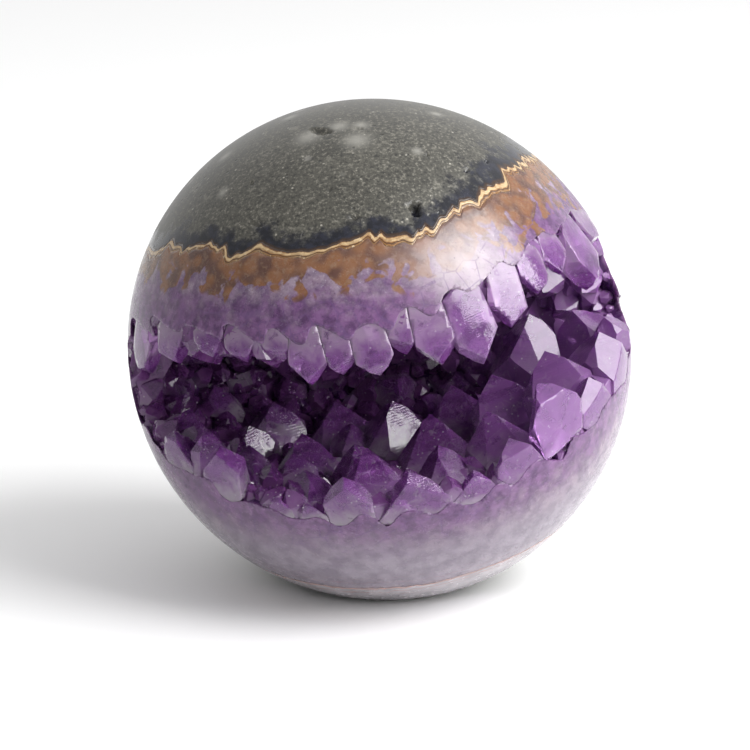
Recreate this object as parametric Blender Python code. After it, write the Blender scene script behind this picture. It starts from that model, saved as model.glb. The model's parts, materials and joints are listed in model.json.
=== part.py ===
"""A polished ball of amethyst geode, open along one side like a smiling mouth.

The ball is cut across a flat geode. From the top down it is basalt, a thin rind of agate, the
amethyst wall with its cavity, a second rind, and the basalt foot that it stands on. Crystals grow
from the cavity wall towards its middle, and those at the lips were ground flush with the ball.
Metres, +Z up. The origin is the middle of the flat under the foot.
"""

import math
import random

import bmesh
import bpy
from mathutils import Matrix, Vector
from mathutils.geometry import intersect_line_line

MM = 0.001

# The ball
BALL_RADIUS = 40.0 * MM
FOOT_FLAT_RADIUS = 13.0 * MM
BALL_CENTRE = Vector((0, 0, math.sqrt(BALL_RADIUS**2 - FOOT_FLAT_RADIUS**2)))
LONG_AXIS = Vector((-0.77, 0.17, 0.62)).normalized()
OUT_OF_ROUND = 0.016
SHOULDER_AXIS = Vector((0.76, -0.12, 0.64)).normalized()
SHOULDER_DEPTH = 0.972 * BALL_RADIUS
BALL_SEGMENTS, BALL_RINGS = 60, 36

# The layers: height over the ball's centre at its middle, and slopes along X and Y
UPPER_RIND = (24.3 * MM, 0.225, -0.077)
LOWER_RIND = (-25.8 * MM, 0.135, 0.31)
UPPER_RIND_THICKNESS = 1.2 * MM
LOWER_RIND_THICKNESS = 4.6 * MM
FIT_GAP = 0.3 * MM
# Each wave of the rind: its height, its length, and its direction and start in degrees
RIND_WAVES = (
    (0.75 * MM, 31 * MM, 20, 40),
    (0.50 * MM, 19 * MM, 105, 200),
    (0.30 * MM, 12 * MM, 150, 310),
)
SLAB_REACH = 46.0 * MM
SLAB_CELLS = 15

# The cavity is an egg lying along the geode's bedding, which dips to the left. Its ends curl up
# like a smile's
BEDDING_NORMAL = Vector((-0.219, 0.075, 0.973)).normalized()
CAVITY_CENTRE = Vector((7.0, -22.0, -4.5)) * MM
CAVITY_RADII = Vector((50.0, 36.0, 16.0)) * MM
CAVITY_SQUARENESS = 2.6
CAVITY_SEGMENTS, CAVITY_RINGS = 44, 22
SMILE_MIDDLE = 2.0 * MM
SMILE_RISE = 6.5 * MM
SMILE_REACH = 32.0 * MM

# Quartz: the angle between a tip face's normal and the crystal's axis
TIP_FACE_ANGLE = math.radians(51.8)
CRYSTAL_LENGTH = 26.0 * MM
# The share of the half width by which the three lesser tip faces stand back from the tip
LESSER_FACE_OFFSET = 0.16

# Some floor crystals turn a large tip face the same way, as crystals of one growth do
COMMON_FACING = Vector((0.40, -0.74, 0.54))

# Crystals set by hand: tip along, back and up in the bedding frame, half width (mm), lean, and
# whether a face turns the common way
ROOF_LIP = (
    (-35.0, -14.0, 6.6, 3.4, 0.20, 0.00, 0),
    (-29.6, -22.6, 8.6, 3.4, 0.20, 0.00, 0),
    (-23.6, -29.4, 9.4, 3.0, 0.15, 0.05, 0),
    (-18.7, -32.2, 8.3, 3.0, 0.10, 0.05, 0),
    (-13.2, -34.4, 7.6, 2.8, -0.10, 0.00, 0),
    (-9.6, -36.9, 3.6, 3.1, -0.04, 0.06, 0),
    (-4.6, -37.3, 4.2, 3.1, 0.05, 0.02, 0),
    (0.8, -38.0, 3.0, 3.2, 0.08, 0.00, 0),
    (5.4, -36.6, 5.0, 2.8, 0.00, 0.00, 0),
    (10.3, -36.2, 2.2, 3.5, 0.10, 0.03, 0),
    (16.4, -34.4, 0.6, 3.6, 0.10, 0.05, 0),
    (21.6, -31.3, 4.6, 2.8, -0.16, 0.00, 0),
    (26.6, -27.2, 8.0, 3.0, -0.12, 0.00, 0),
    (30.6, -22.3, 9.4, 3.0, -0.10, 0.00, 0),
    (34.2, -13.8, 4.6, 4.2, -0.12, 0.00, 0),
    (34.6, -3.5, 8.2, 4.2, -0.20, -0.05, 0),
)
FLOOR_LIP = (
    (-33.2, -19.5, -2.0, 3.9, 0.25, 0.00, 0),
    (-26.2, -27.2, -4.4, 5.6, 0.10, 0.10, 0),
    (-24.0, -29.8, -13.0, 3.0, 0.20, -0.10, 0),
    (-19.2, -30.9, -13.2, 3.1, 0.10, 0.00, 0),
    (-14.8, -33.2, -14.8, 3.2, 0.00, -0.10, 0),
    (-8.4, -34.4, -11.8, 4.1, 0.05, 0.00, 0),
    (1.6, -35.2, -13.0, 6.4, 0.02, -0.04, 0),
    (11.2, -34.0, -15.2, 4.3, 0.00, 0.00, 0),
    (17.6, -30.8, -12.2, 5.1, -0.10, 0.00, 0),
    (23.6, -27.6, -5.4, 6.8, -0.34, 0.12, 0),
    (31.6, -20.6, -7.6, 6.2, 0.14, -0.24, 1),
)
FLOOR = (
    (-4.2, -27.0, -10.2, 5.5, 0.10, 0.10, 0),
    (-14.4, -24.0, -11.6, 6.2, 0.12, 0.00, 0),
    (6.6, -25.4, -12.0, 5.5, 0.00, 0.10, 0),
    (15.0, -20.8, -9.4, 6.2, -0.10, 0.10, 0),
    (-22.6, -15.6, -7.6, 6.5, 0.20, 0.05, 0),
    (-31.0, -8.0, -1.2, 6.0, 0.35, 0.00, 0),
    (6.0, -11.0, -9.8, 6.8, 0.06, 0.00, 0),
    (-6.6, -14.6, -11.2, 6.5, 0.00, 0.00, 0),
    (-14.6, -8.0, -9.0, 7.0, 0.15, -0.15, 0),
    (16.8, -9.8, -6.0, 6.5, -0.10, 0.00, 0),
    (25.8, -14.6, -3.2, 5.8, -0.15, 0.00, 0),
    (34.8, -13.2, -2.4, 6.2, 0.14, -0.24, 1),
    (0.3, -2.2, -8.2, 6.2, 0.14, -0.24, 1),
    (10.0, -0.6, -8.0, 6.8, 0.00, -0.20, 0),
    (24.6, -1.4, 0.6, 6.5, 0.14, -0.24, 1),
    (31.4, 0.4, -0.6, 6.2, -0.25, -0.20, 0),
    (-9.0, 3.6, -7.4, 6.5, 0.10, -0.30, 0),
    (-18.6, 2.0, -5.0, 6.5, 0.20, -0.30, 0),
    (-27.4, 4.6, -0.6, 6.2, 0.14, -0.24, 1),
)
HAND_SET_REACH = 14.0 * MM
# The rest of the wall is filled by chance, always the same way
FILL_SEED = 11
FILL_TRIALS = 700
FILL_HALF_WIDTHS = (5.0 * MM, 6.6 * MM)
FILL_REACH = (6.5 * MM, 10.0 * MM)
FILL_LEAN = 0.16
# The nearest two crystals come, as a share of their half widths together
FILL_SPACING = 0.66
# Each band of the wall: its name, how far round and up the wall it reaches, its most crystals
FILL_BANDS = (("back", (0, 200), (-0.20, 0.55), 8), ("roof", (0, 360), (0.55, 0.95), 5))
LEAST_VOLUME = 22.0 * MM**3
WIDTH_SPREAD = 0.09

# Pits in the basalt: direction from the ball's centre, and half sizes across, down and in (mm)
BASALT_PITS = (
    ((-0.20, -0.29, 0.94), (2.0, 1.0, 0.9)),
    ((-0.09, -0.28, 0.95), (0.9, 0.6, 0.7)),
    ((0.138, -0.672, 0.727), (1.0, 1.5, 1.4)),
    ((0.45, 0.35, 0.82), (1.4, 0.8, 0.8)),
    ((-0.42, 0.50, 0.75), (1.0, 0.7, 0.7)),
)

BASALT = ((0.085, 0.085, 0.072), 0.35)
AGATE = ((0.62, 0.42, 0.22), 0.30)
CHALCEDONY = ((0.46, 0.42, 0.45), 0.25)
AMETHYST = ((0.42, 0.30, 0.52), 0.20)
CRYSTAL = ((0.30, 0.13, 0.48), 0.12)


def clear_scene():
    for obj in list(bpy.data.objects):
        bpy.data.objects.remove(obj)


def collection(name):
    made = bpy.data.collections.new(name)
    bpy.context.scene.collection.children.link(made)
    return made


def finish(name, colour, roughness):
    """A plain material of this colour and gloss."""
    material = bpy.data.materials.new(name)
    material.use_nodes = True
    shader = material.node_tree.nodes["Principled BSDF"]
    shader.inputs["Base Color"].default_value = (*colour, 1)
    shader.inputs["Roughness"].default_value = roughness
    shader.inputs["Metallic"].default_value = 0
    return material


def object_of(bm, name, home, material=None):
    """Turns the bmesh into a named object in that collection, its faces in a settled order."""
    bmesh.ops.recalc_face_normals(bm, faces=bm.faces)
    bm.verts.index_update()
    faces = []
    for face in bm.faces:
        corners = [vert.index for vert in face.verts]
        lowest = corners.index(min(corners))
        faces.append(corners[lowest:] + corners[:lowest])
    mesh = bpy.data.meshes.new(name)
    mesh.from_pydata([vert.co[:] for vert in bm.verts], [], sorted(faces))
    bm.free()
    if material is not None:
        mesh.materials.append(material)
    made = bpy.data.objects.new(name, mesh)
    home.objects.link(made)
    return made


def cutter(bm, name, home):
    made = object_of(bm, name, home)
    made.hide_render = True
    made.display_type = "WIRE"
    return made


def boolean(obj, operation, other):
    modifier = obj.modifiers.new(other.name, "BOOLEAN")
    modifier.operation = operation
    modifier.object = other


def bedding():
    """The turn from the bedding frame (along, back, up) to the object's frame."""
    along = (Vector((1, 0, 0)) - BEDDING_NORMAL.x * BEDDING_NORMAL).normalized()
    back = BEDDING_NORMAL.cross(along)
    return Matrix((along, back, BEDDING_NORMAL)).transposed()


# The ball and its layers


def ball_radius(direction):
    """The ball was ground round by hand, so it is a little long one way and flat on a shoulder."""
    along = direction.dot(LONG_AXIS)
    radius = BALL_RADIUS * (1 + OUT_OF_ROUND * (1.5 * along * along - 0.5))
    facing = direction.dot(SHOULDER_AXIS)
    return min(radius, SHOULDER_DEPTH / facing) if facing > 0 else radius


def ball_mesh():
    bm = bmesh.new()
    bmesh.ops.create_uvsphere(bm, u_segments=BALL_SEGMENTS, v_segments=BALL_RINGS, radius=1)
    for vert in bm.verts:
        direction = vert.co.normalized()
        vert.co = BALL_CENTRE + direction * ball_radius(direction)
    return bm


def rind_height(rind, x, y):
    """Height of a rind's inner surface over the ball's centre: a sloping plane with waves."""
    height, slope_x, slope_y = rind
    z = height + slope_x * x + slope_y * y
    for size, length, heading, start in RIND_WAVES:
        across = x * math.cos(math.radians(heading)) + y * math.sin(math.radians(heading))
        z += size * math.sin(math.tau * across / length + math.radians(start))
    return z


def slab(name, bottom, top, home):
    """A closed slab wider than the ball, between two height functions of x and y."""
    bm = bmesh.new()
    bmesh.ops.create_grid(bm, x_segments=SLAB_CELLS, y_segments=SLAB_CELLS, size=SLAB_REACH)
    bmesh.ops.triangulate(bm, faces=bm.faces[:], quad_method="FIXED")
    made = bmesh.ops.extrude_face_region(bm, geom=bm.faces[:], use_keep_orig=True)
    upper = {item for item in made["geom"] if isinstance(item, bmesh.types.BMVert)}
    for vert in bm.verts:
        x, y, _ = vert.co
        low = bottom(x, y)
        vert.co.z = max(top(x, y), low + FIT_GAP) if vert in upper else low
    return cutter(bm, name, home)


def layers(part, tools):
    """The five layers of the ball, each the ball cut by its own slab."""
    centre = BALL_CENTRE.z
    gap = FIT_GAP / 2
    outside = UPPER_RIND_THICKNESS
    below = -LOWER_RIND_THICKNESS

    def over(x, y):
        return 2 * centre + SLAB_REACH

    def ground(x, y):
        return 0.0

    def surface(rind, offset):
        return lambda x, y: centre + rind_height(rind, x, y) + offset

    stack = (
        ("basalt_cap", BASALT, surface(UPPER_RIND, outside + gap), over),
        ("upper_agate_rind", AGATE, surface(UPPER_RIND, gap), surface(UPPER_RIND, outside - gap)),
        ("amethyst_wall", AMETHYST, surface(LOWER_RIND, gap), surface(UPPER_RIND, -gap)),
        ("lower_agate_rind", CHALCEDONY, surface(LOWER_RIND, below + gap), surface(LOWER_RIND, -gap)),
        ("basalt_foot", BASALT, ground, surface(LOWER_RIND, below - gap)),
    )
    made = {}
    for name, (colour, roughness), bottom, top in stack:
        layer = object_of(ball_mesh(), name, part, finish(name, colour, roughness))
        boolean(layer, "INTERSECT", slab(name + "_slab", bottom, top, tools))
        made[name] = layer
    return made


def pit_cutters(tools):
    """Gas bubbles and a chip that the polished face of the basalt cuts open."""
    for number, (heading, half_sizes) in enumerate(BASALT_PITS, 1):
        direction = Vector(heading).normalized()
        bm = bmesh.new()
        bmesh.ops.create_uvsphere(bm, u_segments=12, v_segments=8, radius=1)
        bmesh.ops.scale(bm, vec=Vector(half_sizes) * MM, verts=bm.verts)
        turn = direction.to_track_quat("Z", "Y").to_matrix().to_4x4()
        place = Matrix.Translation(BALL_CENTRE + direction * ball_radius(direction)) @ turn
        bmesh.ops.transform(bm, matrix=place, verts=bm.verts)
        yield cutter(bm, f"basalt_pit_{number}", tools)


# The cavity and its crystals


def squared(unit):
    """The point of the unit egg that lies that way from its middle."""
    power = CAVITY_SQUARENESS
    return unit / sum(abs(part) ** power for part in unit) ** (1 / power)


def smile(along):
    """How far the cavity's middle has risen, this far along the bedding."""
    return SMILE_RISE * ((along - SMILE_MIDDLE) / SMILE_REACH) ** 2


def on_wall(unit):
    """The cavity wall's point that lies that way from the middle, in the bedding frame."""
    point = CAVITY_CENTRE + squared(unit) * CAVITY_RADII
    point.z += smile(point.x)
    return point


def egg_mesh(shrink):
    """The cavity, drawn in by shrink on every side."""
    bm = bmesh.new()
    bmesh.ops.create_uvsphere(bm, u_segments=CAVITY_SEGMENTS, v_segments=CAVITY_RINGS, radius=1)
    radii = CAVITY_RADII - Vector((shrink, shrink, shrink))
    for vert in bm.verts:
        vert.co = CAVITY_CENTRE + squared(vert.co) * radii
        vert.co.z += smile(vert.co.x)
    place = Matrix.Translation(BALL_CENTRE) @ bedding().to_4x4()
    bmesh.ops.transform(bm, matrix=place, verts=bm.verts)
    return bm


def inside_ball(point, margin=0.0):
    """point is in the bedding frame."""
    turned = bedding() @ point
    return turned.length < ball_radius(turned.normalized()) + margin


def wall_normal(point):
    """Into the cavity, at a point of its wall."""
    inward = CAVITY_CENTRE - point
    inward.z += smile(point.x)
    power = CAVITY_SQUARENESS
    slope = (math.copysign(abs(d / r) ** (power - 1) / r, d) for d, r in zip(inward, CAVITY_RADII))
    return Vector(slope).normalized()


class Crystal:
    """A point of quartz: its root, the way it points, and its size, in the bedding frame."""

    def __init__(self, group, root, axis, half_width, reach, common=False):
        self.group = group
        self.root = root
        self.axis = axis.normalized()
        self.half_width = half_width
        self.tip = root + self.axis * reach
        self.common = common

    def parting_plane(self, other):
        """A point and a normal between two crystals, nearer the slimmer one."""
        mine, theirs = nearest_points(self, other)
        apart = theirs - mine
        share = self.half_width / (self.half_width + other.half_width)
        return mine + apart * share, apart.normalized()


def nearest_points(a, b):
    """The nearest points of two crystals' axes, kept between their roots and tips."""
    found = intersect_line_line(a.root, a.tip, b.root, b.tip)
    on_a = a.root if found is None else found[0]
    length = (a.tip - a.root).length
    along = min(max((on_a - a.root).dot(a.axis), 0.0), length)
    on_a = a.root + a.axis * along
    for first, second in ((b, a), (a, b)):
        along = (on_a - first.root).dot(first.axis)
        along = min(max(along, 0.0), (first.tip - first.root).length)
        previous, on_a = on_a, first.root + first.axis * along
    return on_a, previous


def hand_set(group, rows, up):
    """Crystals of the roof or the floor, leaning as the rows say from straight up or down."""
    for along, back, height, half_width, lean_along, lean_back, common in rows:
        tip = Vector((along, back, height)) * MM
        axis = Vector((lean_along, lean_back, up)).normalized()
        root = tip - axis * HAND_SET_REACH
        yield Crystal(group, root, axis, half_width * MM, HAND_SET_REACH, bool(common))


def fill_band(placed, band, rng):
    """Adds crystals by chance to a band of the wall, each clear of those before it."""
    group, turns, rises, most = band
    for _ in range(FILL_TRIALS):
        turn = math.radians(rng.uniform(*turns))
        rise = rng.uniform(*rises)
        level = math.sqrt(1 - rise * rise)
        unit = Vector((level * math.cos(turn), level * math.sin(turn), rise))
        seat = on_wall(unit)
        half_width = rng.uniform(*FILL_HALF_WIDTHS)
        reach = rng.uniform(*FILL_REACH)
        lean = Vector(rng.uniform(-FILL_LEAN, FILL_LEAN) for _ in range(3))
        crystal = Crystal(group, seat, wall_normal(seat) + lean, half_width, reach)
        if not inside_ball(seat, -1.5 * MM):
            continue
        if all(clear_of(crystal, other) for other in placed):
            placed.append(crystal)
            most -= 1
        if most == 0:
            return


def clear_of(crystal, other):
    a, b = nearest_points(crystal, other)
    return (a - b).length > FILL_SPACING * (crystal.half_width + other.half_width)


def cut(bm, point, normal):
    """Cuts off what lies beyond the plane and closes the cut."""
    geometry = bm.verts[:] + bm.edges[:] + bm.faces[:]
    done = bmesh.ops.bisect_plane(
        bm, geom=geometry, dist=1e-7, plane_co=point, plane_no=normal, clear_outer=True
    )
    edges = [item for item in done["geom_cut"] if isinstance(item, bmesh.types.BMEdge)]
    if len(edges) > 2:
        bmesh.ops.contextual_create(bm, geom=edges)


def crystal_mesh(crystal, rng):
    """A six-sided column with a six-faced tip, three of its tip faces larger than the others."""
    bm = bmesh.new()
    half = crystal.half_width
    bmesh.ops.create_cone(
        bm, cap_ends=True, segments=6, radius1=1.6 * half, radius2=1.6 * half, depth=CRYSTAL_LENGTH
    )
    bmesh.ops.translate(bm, vec=(0, 0, -CRYSTAL_LENGTH / 2), verts=bm.verts)
    spin = rng.uniform(0, math.tau / 6)
    if crystal.common:
        turn = crystal.axis.to_track_quat("Z", "Y").to_matrix()
        facing = (bedding() @ turn).inverted() @ COMMON_FACING
        spin = math.atan2(facing.y, facing.x)
    for face in range(6):
        turn = spin + face * math.tau / 6
        out = Vector((math.cos(turn), math.sin(turn), 0))
        width = half * rng.uniform(1 - WIDTH_SPREAD, 1 + WIDTH_SPREAD)
        cut(bm, out * width, out)
        slope = out * math.sin(TIP_FACE_ANGLE) + Vector((0, 0, math.cos(TIP_FACE_ANGLE)))
        offset = half * LESSER_FACE_OFFSET * (face % 2) * rng.uniform(0.5, 1.5)
        cut(bm, slope * offset, slope)
    turn = crystal.axis.to_track_quat("Z", "Y").to_matrix().to_4x4()
    bmesh.ops.transform(bm, matrix=Matrix.Translation(crystal.tip) @ turn, verts=bm.verts)
    return bm


def part_from_neighbours(bm, crystal, others):
    reach = CRYSTAL_LENGTH
    for other in others:
        if other is crystal or (other.tip - crystal.tip).length > reach:
            continue
        point, normal = crystal.parting_plane(other)
        cut(bm, point - normal * FIT_GAP / 2, normal)


def volume_of(obj):
    graph = bpy.context.evaluated_depsgraph_get()
    bm = bmesh.new()
    bm.from_object(obj, graph)
    volume = bm.calc_volume()
    bm.free()
    return volume


def crystals(part, tools):
    """Every crystal of the cavity as its own convex solid, parted from its neighbours."""
    ball = cutter(ball_mesh(), "whole_ball", tools)
    void = cutter(egg_mesh(FIT_GAP), "cavity_less_gap", tools)
    placed = [*hand_set("roof_lip", ROOF_LIP, -1), *hand_set("floor_lip", FLOOR_LIP, 1)]
    placed += hand_set("floor", FLOOR, 1)
    rng = random.Random(FILL_SEED)
    for band in FILL_BANDS:
        fill_band(placed, band, rng)
    colour, roughness = CRYSTAL
    material = finish("crystal", colour, roughness)
    place = Matrix.Translation(BALL_CENTRE) @ bedding().to_4x4()
    counts = {}
    for crystal in placed:
        bm = crystal_mesh(crystal, rng)
        part_from_neighbours(bm, crystal, placed)
        bmesh.ops.transform(bm, matrix=place, verts=bm.verts)
        made = object_of(bm, "crystal", part, material)
        boolean(made, "INTERSECT", void)
        boolean(made, "INTERSECT", ball)
        if volume_of(made) < LEAST_VOLUME:
            bpy.data.objects.remove(made)
            continue
        counts[crystal.group] = counts.get(crystal.group, 0) + 1
        made.name = f"{crystal.group}_crystal_{counts[crystal.group]:02d}"


def build():
    clear_scene()
    part = collection("amethyst_geode_ball")
    tools = collection("cutters")
    made = layers(part, tools)
    for pit in pit_cutters(tools):
        boolean(made["basalt_cap"], "DIFFERENCE", pit)
    boolean(made["amethyst_wall"], "DIFFERENCE", cutter(egg_mesh(0.0), "cavity", tools))
    crystals(part, tools)


build()
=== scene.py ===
"""A polished ball of amethyst geode with its mouth of crystals, on a plain pale floor."""

import json
import math
import random

import bmesh
import bpy
import numpy as np
from mathutils import Matrix, Vector, noise
from mathutils.geometry import intersect_line_line

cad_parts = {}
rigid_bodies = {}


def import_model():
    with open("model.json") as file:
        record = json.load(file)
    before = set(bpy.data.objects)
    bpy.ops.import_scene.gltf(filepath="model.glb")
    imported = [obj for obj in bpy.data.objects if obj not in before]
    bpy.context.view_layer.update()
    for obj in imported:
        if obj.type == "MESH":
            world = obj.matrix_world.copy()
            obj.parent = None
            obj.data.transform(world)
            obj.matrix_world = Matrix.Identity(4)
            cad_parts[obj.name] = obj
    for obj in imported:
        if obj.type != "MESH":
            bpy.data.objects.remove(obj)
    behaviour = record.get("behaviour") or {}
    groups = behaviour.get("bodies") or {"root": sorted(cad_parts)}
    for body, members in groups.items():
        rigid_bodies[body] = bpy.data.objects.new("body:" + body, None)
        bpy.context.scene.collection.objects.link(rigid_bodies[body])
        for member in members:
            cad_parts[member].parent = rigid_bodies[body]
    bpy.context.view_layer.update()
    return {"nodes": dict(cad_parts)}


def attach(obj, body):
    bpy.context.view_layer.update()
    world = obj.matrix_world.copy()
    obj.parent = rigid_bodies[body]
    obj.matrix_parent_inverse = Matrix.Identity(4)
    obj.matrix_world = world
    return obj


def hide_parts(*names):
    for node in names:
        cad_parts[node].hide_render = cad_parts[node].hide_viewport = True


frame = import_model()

# Basalt cap: the crust of lava that the geode grew in, sawn and ground round with the ball and
# buffed to a dull shine. Gas bubbles lie open in its face, and it turns blue-black and glassy
# where it meets the agate.

MM = 0.001
FOOT_FLAT_RADIUS = 13.0
BALL_RADIUS = 40.0
BALL_CENTRE = math.sqrt(BALL_RADIUS**2 - FOOT_FLAT_RADIUS**2)
LONG_AXIS = np.array((-0.77, 0.17, 0.62))
LONG_AXIS /= np.linalg.norm(LONG_AXIS)
OUT_OF_ROUND = 0.016
SHOULDER_AXIS = np.array((0.76, -0.12, 0.64))
SHOULDER_AXIS /= np.linalg.norm(SHOULDER_AXIS)
SHOULDER_DEPTH = 0.972 * BALL_RADIUS
SHOULDER_SOFTNESS = 0.35
COLUMNS = 540

# Where the basalt ends, as bearing from the front (degrees, right is positive) and height over
# the ball's centre: it rises to the right in steps, and small teeth run along it
CAP_TEETH = 0.34
CAP_EDGE = (
    (-95, 15.6), (-87, 17.6), (-76, 18.2), (-70, 20.8), (-59, 20.7), (-57, 22.1), (-46, 22.6),
    (-42, 21.4), (-34, 24.0), (-27, 23.1), (-18, 23.7), (-11, 24.9), (-3, 26.3), (6, 25.8),
    (16, 26.8), (20, 27.9), (28, 29.6), (34, 29.6), (39, 30.8), (52, 31.2), (56, 32.6),
    (66, 32.2), (81, 32.5), (92, 31.4), (118, 30.3), (132, 28.2), (150, 27.6), (163, 24.6),
    (181, 23.6), (198, 20.8), (222, 19.2), (240, 16.6), (256, 16.2),
)  # fmt: skip


def edge_heights(outline, bearings, zigzag=0.0, start=0.0):
    """Heights of an edge at these bearings (radians): straight runs, with small fast waves."""
    turns, heights = np.array(outline, dtype=float).T
    level = np.interp(np.degrees(bearings), turns, heights, period=360)
    wave = np.sin(61 * bearings + start + 1.3 * np.sin(17 * bearings))
    wave += 0.6 * np.sin(103 * bearings + 2 * start + 1.1 * np.sin(29 * bearings))
    swell = 0.6 + 0.4 * np.sin(5 * bearings + start)
    return level + zigzag * wave * swell


def rind_top(bearings):
    """The upper edge of the upper rind, where the basalt ends."""
    return edge_heights(CAP_EDGE, bearings, CAP_TEETH, 0.4)


def ball_radius(directions):
    """The ball was ground round by hand, so it is a little long one way and flat on a shoulder."""
    along = directions @ LONG_AXIS
    radius = BALL_RADIUS * (1 + OUT_OF_ROUND * (1.5 * along**2 - 0.5))
    facing = np.maximum(directions @ SHOULDER_AXIS, 0.3)
    plane = SHOULDER_DEPTH / facing
    nearer = np.minimum(radius, plane)
    apart = np.abs(radius - plane) / SHOULDER_SOFTNESS
    return nearer - SHOULDER_SOFTNESS * np.log1p(np.exp(-apart))


def from_centre(points):
    """How far points are from the ball's centre, and how far its face is in their directions."""
    lengths = np.linalg.norm(points, axis=1)
    return lengths, ball_radius(points / lengths[:, None])


def directions_of(bearings, polar):
    """Unit vectors at bearings from the front (-Y) and angles down from the top, in radians."""
    level = np.sin(polar)
    return np.stack(
        (level * np.sin(bearings), -level * np.cos(bearings), np.cos(polar)), axis=-1
    )


def polar_of(bearings, heights):
    """How far down from the top the ball's face reaches these heights."""
    polar = np.full_like(bearings, math.pi / 2)
    for _ in range(12):
        radius = ball_radius(directions_of(bearings, polar))
        polar = np.arccos(np.clip(heights / radius, -1, 1))
    return polar


def place_on_face(bearing, height):
    """The direction and the point of the ball's face at a bearing (degrees) and a height."""
    turn = np.array((math.radians(bearing),))
    heading = directions_of(turn, polar_of(turn, np.array((height,))))[0]
    return heading, heading * ball_radius(heading[None])[0]


def new_piece(name, points, faces, material, smooth=True):
    """An object of points in mm round the ball's centre."""
    mesh = bpy.data.meshes.new(name)
    placed = (np.asarray(points) + (0, 0, BALL_CENTRE)) * MM
    mesh.from_pydata(placed.tolist(), [], faces)
    mesh.validate()
    mesh.shade_smooth() if smooth else mesh.shade_flat()
    mesh.materials.append(material)
    piece = bpy.data.objects.new(name, mesh)
    bpy.context.scene.collection.objects.link(piece)
    return piece


def ground_layer(name, material, top, bottom, rings, dent=None):
    """A layer of the ball: its ground face between two edges, closed by a fan over and under.

    top and bottom are heights at each column, or None where the layer runs to the pole.
    """
    bearings = np.linspace(0, math.tau, COLUMNS, endpoint=False)
    start = np.zeros(COLUMNS) if top is None else polar_of(bearings, top)
    end = np.full(COLUMNS, math.pi) if bottom is None else polar_of(bearings, bottom)
    share = np.linspace(0, 1, rings)[:, None]
    if top is None:
        share = share[1:]
    if bottom is None:
        share = share[:-1]
    polar = start * (1 - share) + end * share
    headings = directions_of(np.broadcast_to(bearings, polar.shape), polar).reshape(-1, 3)
    points = headings * ball_radius(headings)[:, None]
    if dent is not None:
        points = points - headings * dent(points)[:, None]
    sunk = points[:, 2] < -BALL_CENTRE
    points[sunk] *= (-BALL_CENTRE / points[sunk, 2])[:, None]
    crown = ball_radius(np.array(((0.0, 0.0, 1.0),)))[0] if top is None else np.mean(top)
    base = -BALL_CENTRE if bottom is None else np.mean(bottom)
    points = np.vstack((points, ((0, 0, crown), (0, 0, base))))
    apex, foot = len(points) - 2, len(points) - 1
    rows = len(share)
    faces = []
    for column in range(COLUMNS):
        after = (column + 1) % COLUMNS
        faces.append((apex, column, after))
        faces.append((foot, (rows - 1) * COLUMNS + after, (rows - 1) * COLUMNS + column))
        for row in range(rows - 1):
            a, b = row * COLUMNS + column, row * COLUMNS + after
            faces.append((a, a + COLUMNS, b + COLUMNS, b))
    return new_piece(name, points, faces, material)


def add_attribute(piece, name, values):
    """A number, or a vector, for each of a piece's points."""
    values = np.asarray(values, dtype=np.float32)
    kind, field = ("FLOAT", "value") if values.ndim == 1 else ("FLOAT_VECTOR", "vector")
    attribute = piece.data.attributes.new(name, kind, "POINT")
    attribute.data.foreach_set(field, values.ravel())


def points_of(piece):
    """A piece's points in mm round the ball's centre."""
    flat = np.empty(3 * len(piece.data.vertices), dtype=np.float32)
    piece.data.vertices.foreach_get("co", flat)
    return flat.reshape(-1, 3).astype(float) / MM - (0, 0, BALL_CENTRE)


def bearings_of(points):
    return np.arctan2(points[:, 0], -points[:, 1])


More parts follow.
